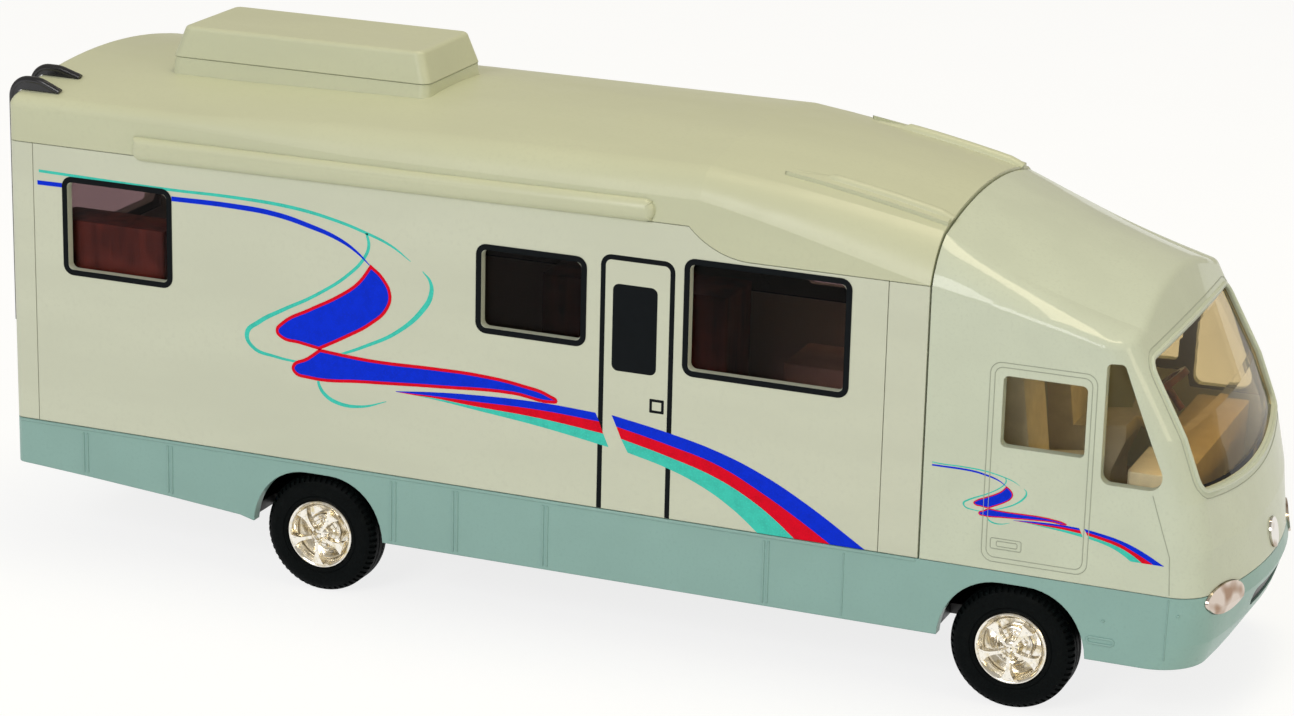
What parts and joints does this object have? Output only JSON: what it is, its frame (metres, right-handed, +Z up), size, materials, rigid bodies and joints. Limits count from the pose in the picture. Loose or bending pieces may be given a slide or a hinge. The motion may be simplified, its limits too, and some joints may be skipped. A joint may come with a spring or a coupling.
{
  "type": "toy motorhome",
  "caption": "Toy motorhome with a die-cast cab and skirts, a windowed plastic coach body, raised roof unit, ladder, fitted-out cabin and free-rolling axles",
  "frame": {"origin": "on the ground under the centre of the bounding box", "axes": "+X is the front of the vehicle, +Y its left side, +Z up"},
  "size_m": [0.2, 0.0566, 0.0836],
  "materials": {
    "cab_paint": "gloss cream enamel on die-cast metal",
    "skirt_paint": "satin grey-blue enamel on die-cast metal",
    "coach_plastic": "satin cream moulded plastic",
    "base_plastic": "black moulded plastic",
    "clear_tint": "clear plastic with a brown tint",
    "lamp_chrome": "vacuum-plated plastic",
    "lamp_red": "gloss red plastic",
    "interior_tan": "matte tan plastic",
    "interior_brown": "matte brown plastic",
    "axle_steel": "drawn steel pin",
    "screw_steel": "zinc-plated steel",
    "wheel_chrome": "vacuum-plated plastic",
    "tyre_rubber": "black soft rubber"
  },
  "bodies": {
    "body": {"lower_skirt": "skirt_paint", "chassis_base": "base_plastic", "base_screws": "screw_steel", "cab_shell": "cab_paint", "windshield_glass": "clear_tint", "cab_side_glass_right": "clear_tint", "cab_side_glass_left": "clear_tint", "headlamp_right": "lamp_chrome", "headlamp_left": "lamp_chrome", "front_badge": "lamp_chrome", "grille": "base_plastic", "coach_frame": "coach_plastic", "side_panel_right": "coach_plastic", "side_panel_left": "coach_plastic", "side_glass_right": "clear_tint", "side_glass_left": "clear_tint", "rear_glass": "clear_tint", "tail_lamp_right": "lamp_red", "tail_lamp_left": "lamp_red", "roof_shell": "coach_plastic", "air_conditioner": "coach_plastic", "ladder": "base_plastic", "interior_floor": "interior_tan", "driver_seat": "interior_tan", "passenger_seat": "interior_tan", "dashboard": "interior_tan", "steering_wheel": "interior_brown", "sofa": "interior_tan", "dinette_table": "interior_brown", "kitchen_counter": "interior_brown", "wardrobe": "interior_brown", "bed": "interior_tan", "bedroom_cabinet": "interior_brown"},
    "front_wheels": {"front_axle": "axle_steel", "front_rim_right": "wheel_chrome", "front_rim_left": "wheel_chrome", "front_tyre_right": "tyre_rubber", "front_tyre_left": "tyre_rubber"},
    "rear_wheels": {"rear_axle": "axle_steel", "rear_rim_right": "wheel_chrome", "rear_rim_left": "wheel_chrome", "rear_tyre_right": "tyre_rubber", "rear_tyre_left": "tyre_rubber"}
  },
  "joints": [
    {"name": "front_axle_spin", "type": "hinge", "parent": "body", "child": "front_wheels", "pos_m": [0.0675, 0, 0.0094], "axis": [0, 1, 0], "continuous": true},
    {"name": "rear_axle_spin", "type": "hinge", "parent": "body", "child": "rear_wheels", "pos_m": [-0.0445, 0, 0.0094], "axis": [0, 1, 0], "continuous": true}
  ]
}
